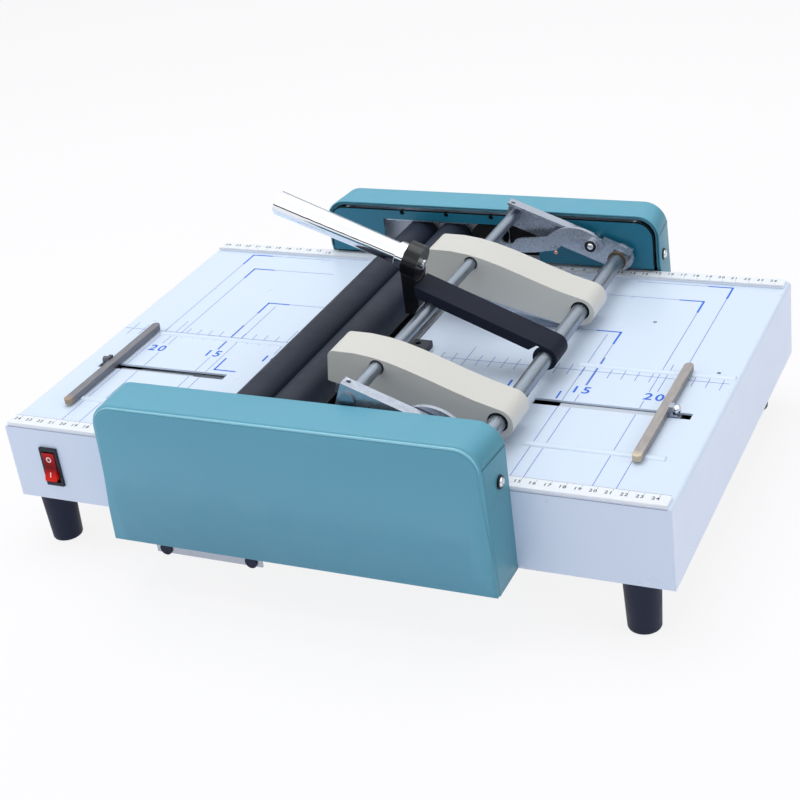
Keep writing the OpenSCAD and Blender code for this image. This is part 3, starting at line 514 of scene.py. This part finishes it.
FINISH = {
    "base_shell": ("table", 0.5), "under_plate": ("under", 0.4), "fold_plate": ("dark", 0.0),
    "anvil_bar": ("strip", 0.3), "clinch_strip": ("strip", 0.3), "centre_block": ("plastic", 0.5),
    "guide_front": ("alu", 0.4), "guide_back": ("alu", 0.4),
    "inner_plate_front": ("plate", 0.3), "inner_plate_back": ("plate", 0.3),
    "bearing_frame_front": ("frame", 0.3), "bearing_frame_back": ("frame", 0.3),
    "lower_bracket": ("zinc", 0.3), "grommets": ("foot", 0.3),
    "main_shaft": ("steel", 0.4), "latch_stud_front": ("bright", 0.3), "latch_stud_back": ("bright", 0.3),
    "fold_motor": ("black", 1.0), "knife_motor": ("dark", 0.8),
    "knife_guide_front": ("steel", 0.4), "knife_guide_back": ("steel", 0.4),
    "switch_bezel": ("plastic", 0.4), "power_inlet": ("plastic", 0.4),
    "roller_sleeve_left": ("roller", 0.6), "roller_sleeve_right": ("roller", 0.6),
    "roller_shaft_left": ("steel", 0.2), "roller_shaft_right": ("steel", 0.2),
    "idler_gear": ("gear", 0.2), "motor_pinion": ("brass", 0.2), "fold_knife": ("strip", 0.2),
    "switch_rocker": ("red", 0.5),
    "stop_bar_left": ("stop_left", 2.4), "stop_bar_right": ("stop_right", 2.4),
    "stop_block_left": ("grey_zinc", 0.3), "stop_block_right": ("zinc", 0.3),
    "press_arm": ("black", 0.5), "arm_post": ("gloss_black", 0.6), "collar": ("gloss_black", 0.8),
    "collar_bolt": ("bright", 0.2), "handle_tube": ("chrome", 0.4), "handle_ferrule": ("chrome", 0.4),
    "press_rod": ("steel", 0.3), "bracket_front": ("zinc", 0.25), "bracket_back": ("zinc", 0.25),
    "head_cover_front": ("cream", 1.6), "head_cover_back": ("cream", 1.6),
    "staple_rail_front": ("zinc", 0.4), "staple_rail_back": ("zinc", 0.4),
    "latch_lever_front": ("zinc", 0.4), "latch_lever_back": ("zinc", 0.4),
    "foot_front_left": ("foot", 1.2), "foot_front_right": ("foot", 1.2),
    "foot_back_left": ("foot", 1.2), "foot_back_right": ("foot", 1.2),
}
ROUND = ("stop_bar_left", "stop_bar_right", "head_cover_front", "head_cover_back")
for name, (mat, width) in FINISH.items():
    dress(name, mat, width, segments=4 if name in ROUND else 2)


# Printed layout on the table

def add_quad(bm, x0, x1, y0, y1, z):
    corners = [bm.verts.new(mm(x, y, z)) for x, y in ((x0, y0), (x1, y0), (x1, y1), (x0, y1))]
    bm.faces.new(corners)


def quads(name, boxes, mat, z, body="base"):
    bm = bmesh.new()
    for x0, x1, y0, y1 in boxes:
        add_quad(bm, min(x0, x1), max(x0, x1), min(y0, y1), max(y0, y1), z)
    return from_bmesh(name, bm, mat, body, smooth=False)


def number(name, word, x, y, z, size, mat, body="base", thick=0.0):
    curve = bpy.data.curves.new(name, "FONT")
    curve.body = word
    curve.size = size * MM
    curve.align_x = "CENTER"
    curve.align_y = "CENTER"
    curve.offset = thick * MM
    curve.space_character = 1.25
    curve.resolution_u = 4
    obj = bpy.data.objects.new(name, curve)
    obj.location = mm(x, y, z)
    return link(obj, mat, body)


PRINT_Z = TABLE + 0.06
FORMATS = ((210.0, 148.5), (194.5, 122.0), (148.5, 62.0))
THIN = 0.5
BOLD = 1.5
LEG = 19.0
ROLLER_BAND = (-73.0, 3.5)
GUIDE_FRONT_Y = -148.0
NUMBER_GAP = (-34.3, -21.0)


def split(low, high, gaps):
    """The stretches of low to high that lie outside the gaps, which are given in rising order."""
    out = []
    for gap_low, gap_high in gaps:
        if low < gap_low:
            out.append((low, min(high, gap_low)))
        low = max(low, gap_high)
    if low < high:
        out.append((low, high))
    return out


def slot_gap(x):
    y = RIGHT_SLOT_Y if x > 0 else LEFT_SLOT_Y
    return (y - SLOT_HALF - 0.4, y + SLOT_HALF + 0.4)


thin = []
bold = []
for a, b in split(-247.0, 245.0, [ROLLER_BAND]):
    thin.append((a, b, -THIN / 2, THIN / 2))
for i in range(-24, 25):
    x = 10.0 * i
    if ROLLER_BAND[0] - 1 < x < ROLLER_BAND[1] + 1 or abs(i) == 15:
        continue
    reach = 20.0 if i % 5 == 0 else 8.2
    if abs(i) == 24:
        reach = 10.0
    thin.append((x - THIN / 2, x + THIN / 2, -reach, reach))
for x, y in FORMATS:
    for s in (-1, 1):
        gaps = [slot_gap(s * x)]
        if x < 200:
            gaps.append(NUMBER_GAP)
        for a, b in split(GUIDE_FRONT_Y, y, gaps):
            thin.append((s * x - THIN / 2, s * x + THIN / 2, a, b))
        thin.append((s * x, s * (x - 75), y - THIN / 2, y + THIN / 2))
        bold.append((s * x - BOLD / 2, s * x + BOLD / 2, y - LEG, y))
        bold.append((s * x + s * BOLD / 2, s * (x - LEG), y - BOLD / 2, y + BOLD / 2))
for s in (-1, 1):
    for a, b in split(GUIDE_FRONT_Y, 57.0, [slot_gap(s)]):
        thin.append((s * 139.5 - THIN / 2, s * 139.5 + THIN / 2, a, b))
    bold.append((s * 149.3 - 0.45, s * 149.3 + 0.45, -20.5, 21.0))
bold.append((133.9, 135.2, -42.5, -32.0))
bold.append((-134.5 - BOLD / 2, -134.5 + BOLD / 2, -52.3, -33.0))
bold.append((-134.5, -116.0, -52.3, -50.9))
quads("print_thin", thin, "ink_thin", PRINT_Z)
quads("print_bold", bold, "ink_blue", PRINT_Z + 0.01)
SCALE_NUMBERS = (("10", -99.5), ("15", -149.5), ("20", -199.7), ("10", 99), ("15", 147.6), ("20", 199.8))
for i, (word, x) in enumerate(SCALE_NUMBERS):
    number(f"print_number_{i}", word, x, -28.2, PRINT_Z + 0.01, 12.8, "ink_blue", thick=0.22)

# Rulers on the guide strips: plain numbers, one for each centimetre
RULE_Z = TABLE + 2.5 + 0.05
RULE_SHIFT = 2.0
RULE_SIZE = 4.6
ticks = []
for i in list(range(-24, -14)) + list(range(15, 25)):
    ticks.append((10 * i - 0.12, 10 * i + 0.12, -151.5, -149.6))
    number(f"rule_front_{i + 30}", str(abs(i)), 10 * i - RULE_SHIFT, -154.0, RULE_Z, RULE_SIZE, "ink_black",
           thick=0.08)
for i in list(range(-24, -13)) + list(range(4, 25)):
    ticks.append((10 * i - 0.12, 10 * i + 0.12, 155.0, 157.0))
    y = 160.6 if abs(i) > 14 else 157.6
    number(f"rule_back_{i + 30}", str(abs(i)), 10 * i - RULE_SHIFT, y, RULE_Z, RULE_SIZE, "ink_black",
           thick=0.08)
quads("rule_ticks", ticks, "ink_black", RULE_Z)


# Small parts that the solids leave plain

def strip(name, x0, x1, y0, y1, z0, z1, mat, body="base", edge=0.2):
    bm = bmesh.new()
    bmesh.ops.create_cube(bm, size=1.0)
    for v in bm.verts:
        x = x0 + (x1 - x0) * (v.co.x + 0.5)
        y = y0 + (y1 - y0) * (v.co.y + 0.5)
        z = z0 + (z1 - z0) * (v.co.z + 0.5)
        v.co = mm(x, y, z)
    piece = from_bmesh(name, bm, mat, body)
    soften(piece, edge, 40)
    return piece


def ring(name, centre, axis, inner, outer, depth, mat, body="base"):
    """A flat ring with rounded edges, built by turning its section round an axis."""
    axis = Vector(axis).normalized()
    side = axis.orthogonal().normalized()
    other = axis.cross(side)
    r = depth / 2
    section = [(inner, 0), (inner, depth * 0.7), (inner + r * 0.4, depth), (outer - r * 0.5, depth),
               (outer, depth * 0.6), (outer, 0)]
    rows = []
    for i in range(49):
        a = 2 * math.pi * i / 48
        turn = side * math.cos(a) + other * math.sin(a)
        rows.append([mm(*centre) + (turn * radius + axis * along) * MM for radius, along in section])
    return sweep(name, rows, mat, body, True, (False, False))


# Slides under the slots: pale strips that move with the stops, and a fixed rail below the left one
y = RIGHT_SLOT_Y
strip("slide_right", 139.0, 212.4, y - 3.9, y + 3.4, 97.95, 98.3, "rail", "stop_right", 0.05)
y = LEFT_SLOT_Y
strip("slide_left", -214.8, -150.0, y - 3.9, y + 3.4, 96.3, 96.65, "rail", "stop_left", 0.05)
strip("slot_rail_left", -200.0, -112.0, y + 0.5, y + 9.6, 92.6, 94.3, "alu", "base", 0.2)
knob = [(0.0, 2.2), (0.3, 2.75), (1.2, 3.15), (2.3, 3.2), (3.3, 2.8), (4.0, 1.9), (4.35, 0.9),
        (4.4, 0.2)]
lathe("stop_knob_right", knob, (220.1, RIGHT_SLOT_Y, 104.7), (1, 0, 0), "bright", "stop_right", 32)

# Cover screws: a bright dome in a black washer
for side, end in ((-1, "front"), (1, "back")):
    for sx, hand in ((-1, "left"), (1, "right")):
        place = (COVER_X[side] + sx * COVER_HALF - sx * 0.6, side * (FRAME_Y + 13), TABLE + 13.4)
        name = end + "_" + hand
        ring("screw_washer_" + name, place, (sx, 0, 0), 3.1, 4.7, 1.2, "gloss_black")
        dome = [(0.0, 3.3), (1.3, 3.2), (1.9, 2.8), (2.4, 1.9), (2.65, 0.9), (2.7, 0.2)]
        head = lathe("screw_dome_" + name, dome, place, (sx, 0, 0), "bright", "base", 32)
        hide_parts("cover_screw_" + name)

# Pivot bolts of the latch levers, with a black washer round a bright dome
for name, side in (("front", -1), ("back", 1)):
    y = side * 139.9
    out = (0, -side, 0)
    ring("stud_washer_" + name, (STUD[0], y, STUD[1]), out, 2.7, 4.7, 0.5, "gloss_black")
    dome = [(0.0, 2.7), (0.5, 2.6), (0.9, 2.1), (1.15, 1.3), (1.25, 0.3)]
    lathe("stud_dome_" + name, dome, (STUD[0], y, STUD[1]), out, "bright", "base", 32)
    ring("shaft_bush_" + name, (SHAFT[0], side * 147.0, SHAFT[1]), out, 6.1, 7.7, 0.5, "bush", "press")
    # Black discs in the inner plate's three holes, as painted shade in them
    for i in (-1, 0, 1):
        shade = [(0.0, 3.0), (0.3, 2.9), (0.5, 0.2)]
        place = (-28.5 + 39.5 * i, side * 162.1, 142.0)
        lathe(f"plate_hole_{name}_{i + 2}", shade, place, (0, side, 0), "dark", "base", 24)
    # A black ring in each head cover's shaft hole, as painted shade in the gap round the shaft
    hole_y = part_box("head_cover_" + name)[0][1] / MM
    place = (SHAFT[0], hole_y + 0.5, SHAFT[1])
    ring("head_hole_" + name, place, (0, 1, 0), 6.2, 7.15, 1.0, "dark", "head_" + name)
pin = [(0.0, 1.7), (0.4, 1.6), (0.8, 1.1), (0.95, 0.2)]
lathe("lever_pin_back", pin, (72.4, 139.9, 124.6), (0, -1, 0), "copper", "latch_back", 24)

# Rail over the rollers, and a black sheet as painted shade in the room beside them, seen through the windows
for name, side in (("front", -1), ("back", 1)):
    y = sorted((side * 175.6, side * 176.3))
    strip("window_shade_" + name, 19.5, 56.0, y[0], y[1], 104.0, 140.0, "dark", "base", 0.2)
    y = sorted((side * 162.3, side * 163.6))
    strip("window_rail_" + name, -84.0, -12.0, y[0], y[1], 134.0, 136.4, "zinc", "base", 0.3)


# Marks on the rocker, laid on its two tilted faces
def on_rocker(x, out, up):
    """Turns a place on the rocker, drawn in its middle position, to where it rests."""
    a = math.radians(-8.5)
    y = -out * math.cos(a) - up * math.sin(a)
    z = -out * math.sin(a) + up * math.cos(a)
    return mm(SWITCH[0] + x, SWITCH[1] + y, SWITCH[2] + z)


def rocker_face(up):
    return 6.6 + 1.8 * abs(up) / 11.2 + 0.06


def rocker_mark(name, loops):
    rows = []
    for loop in loops:
        rows.append([on_rocker(x, rocker_face(up), up) for x, up in loop])
    return sweep(name, rows, "mark_white", "rocker", len(rows[0]) > 2)


circle = [(math.cos(2 * math.pi * i / 32), math.sin(2 * math.pi * i / 32)) for i in range(32)]
rocker_mark("rocker_o", [[(r * c, 5.6 + r * s) for c, s in circle] for r in (2.3, 1.25)])
rocker_mark("rocker_i", [[(-0.5, -8.0), (0.5, -8.0)], [(-0.5, -4.4), (0.5, -4.4)]])

# Grey lines along the guide strips
quads("guide_line_front", [(-246.8, 246.8, -148.9, -148.6)], "grey_line", RULE_Z)
quads("guide_line_back", [(-246.8, 246.8, y, y + w) for y, w in ((153.2, 0.3), (151.2, 0.5))],
      "grey_line", RULE_Z)
bm = bmesh.new()
corners = ((-247, 98.9), (247, 98.9), (247, 99.4), (-247, 99.4))
bm.faces.new([bm.verts.new(mm(x, -FRAME_Y - 0.06, z)) for x, z in corners])
from_bmesh("base_edge_line", bm, "grey_line", smooth=False)

# Floor, world and lamps

def either(tree, a, b):
    node = tree.nodes.new("ShaderNodeMath")
    node.operation = "MAXIMUM"
    tree.links.new(a, node.inputs[0])
    tree.links.new(b, node.inputs[1])
    return node.outputs[0]


def floor():
    """A nearly white floor that keeps a faint shadow of the part and bounces light up at it."""
    size = 6.0
    mesh = bpy.data.meshes.new("floor")
    corners = [(-size, -size, 0), (size, -size, 0), (size, size, 0), (-size, size, 0)]
    mesh.from_pydata(corners, [], [(0, 1, 2, 3)])
    obj = bpy.data.objects.new("floor", mesh)
    bpy.context.scene.collection.objects.link(obj)
    obj.location.z = -0.0005
    mat, tree, shader = new_material("floor_white")
    shader.inputs["Base Color"].default_value = (0.93, 0.89, 0.97, 1)
    shader.inputs["Roughness"].default_value = 0.8
    white = tree.nodes.new("ShaderNodeEmission")
    white.inputs["Color"].default_value = (1, 1, 1, 1)
    path = tree.nodes.new("ShaderNodeLightPath")
    mix = tree.nodes.new("ShaderNodeMixShader")
    seen = tree.nodes.new("ShaderNodeMath")
    seen.operation = "MULTIPLY"
    seen.inputs[1].default_value = 0.85
    tree.links.new(either(tree, path.outputs["Is Camera Ray"], path.outputs["Is Glossy Ray"]), seen.inputs[0])
    tree.links.new(seen.outputs[0], mix.inputs["Fac"])
    tree.links.new(shader.outputs[0], mix.inputs[1])
    tree.links.new(white.outputs[0], mix.inputs[2])
    tree.links.new(mix.outputs[0], tree.nodes["Material Output"].inputs["Surface"])
    mesh.materials.append(mat)


floor()


def background(tree, strength):
    node = tree.nodes.new("ShaderNodeBackground")
    node.inputs["Strength"].default_value = strength
    return node


def world():
    """Even soft light, a white backdrop, and a bright tent over a dark horizon for reflections."""
    w = bpy.data.worlds.new("studio")
    bpy.context.scene.world = w
    w.use_nodes = True
    tree = w.node_tree
    tree.nodes.clear()
    out = tree.nodes.new("ShaderNodeOutputWorld")
    soft = background(tree, 0.5)
    soft.inputs["Color"].default_value = (0.9, 0.95, 1.0, 1)
    seen = background(tree, 1.0)
    seen.inputs["Color"].default_value = (1, 1, 1, 1)
    tent = background(tree, 1.0)
    coord = tree.nodes.new("ShaderNodeTexCoord")
    axes = tree.nodes.new("ShaderNodeSeparateXYZ")
    tree.links.new(coord.outputs["Generated"], axes.inputs[0])
    rise = tree.nodes.new("ShaderNodeValToRGB")
    rise.color_ramp.interpolation = "EASE"
    rise.color_ramp.elements[0].position = 0.10
    rise.color_ramp.elements[0].color = (0.02, 0.022, 0.026, 1)
    rise.color_ramp.elements[1].position = 0.20
    rise.color_ramp.elements[1].color = (0.62, 0.65, 0.7, 1)
    top = rise.color_ramp.elements.new(0.55)
    top.color = (1.15, 1.17, 1.2, 1)
    tree.links.new(axes.outputs["Z"], rise.inputs["Fac"])
    tree.links.new(rise.outputs["Color"], tent.inputs["Color"])
    path = tree.nodes.new("ShaderNodeLightPath")
    lit = tree.nodes.new("ShaderNodeMixShader")
    tree.links.new(path.outputs["Is Glossy Ray"], lit.inputs["Fac"])
    tree.links.new(soft.outputs[0], lit.inputs[1])
    tree.links.new(tent.outputs[0], lit.inputs[2])
    final = tree.nodes.new("ShaderNodeMixShader")
    view = either(tree, path.outputs["Is Camera Ray"], path.outputs["Is Transmission Ray"])
    tree.links.new(view, final.inputs["Fac"])
    tree.links.new(lit.outputs[0], final.inputs[1])
    tree.links.new(seen.outputs[0], final.inputs[2])
    tree.links.new(final.outputs[0], out.inputs["Surface"])


world()


def area(name, place, target, size, power, colour=(1, 1, 1)):
    data = bpy.data.lights.new(name, "AREA")
    data.shape = "RECTANGLE"
    data.size = size[0]
    data.size_y = size[1]
    data.energy = power
    data.color = colour
    obj = bpy.data.objects.new(name, data)
    bpy.context.scene.collection.objects.link(obj)
    obj.location = place
    obj.rotation_euler = (Vector(target) - Vector(place)).to_track_quat("-Z", "Y").to_euler()


area("lamp_top", (-0.15, 0.25, 1.6), (0, 0, 0.1), (1.6, 1.2), 14)
area("lamp_right", (1.7, -0.2, 1.0), (0, 0, 0.1), (1.0, 0.8), 4.6)
area("lamp_front", (-0.5, -1.7, 0.9), (0, 0, 0.05), (1.4, 0.9), 3.5)
area("lamp_left", (-1.5, -0.3, 0.9), (0, 0, 0.1), (0.9, 1.4), 4)

bpy.context.scene.view_settings.view_transform = "Standard"
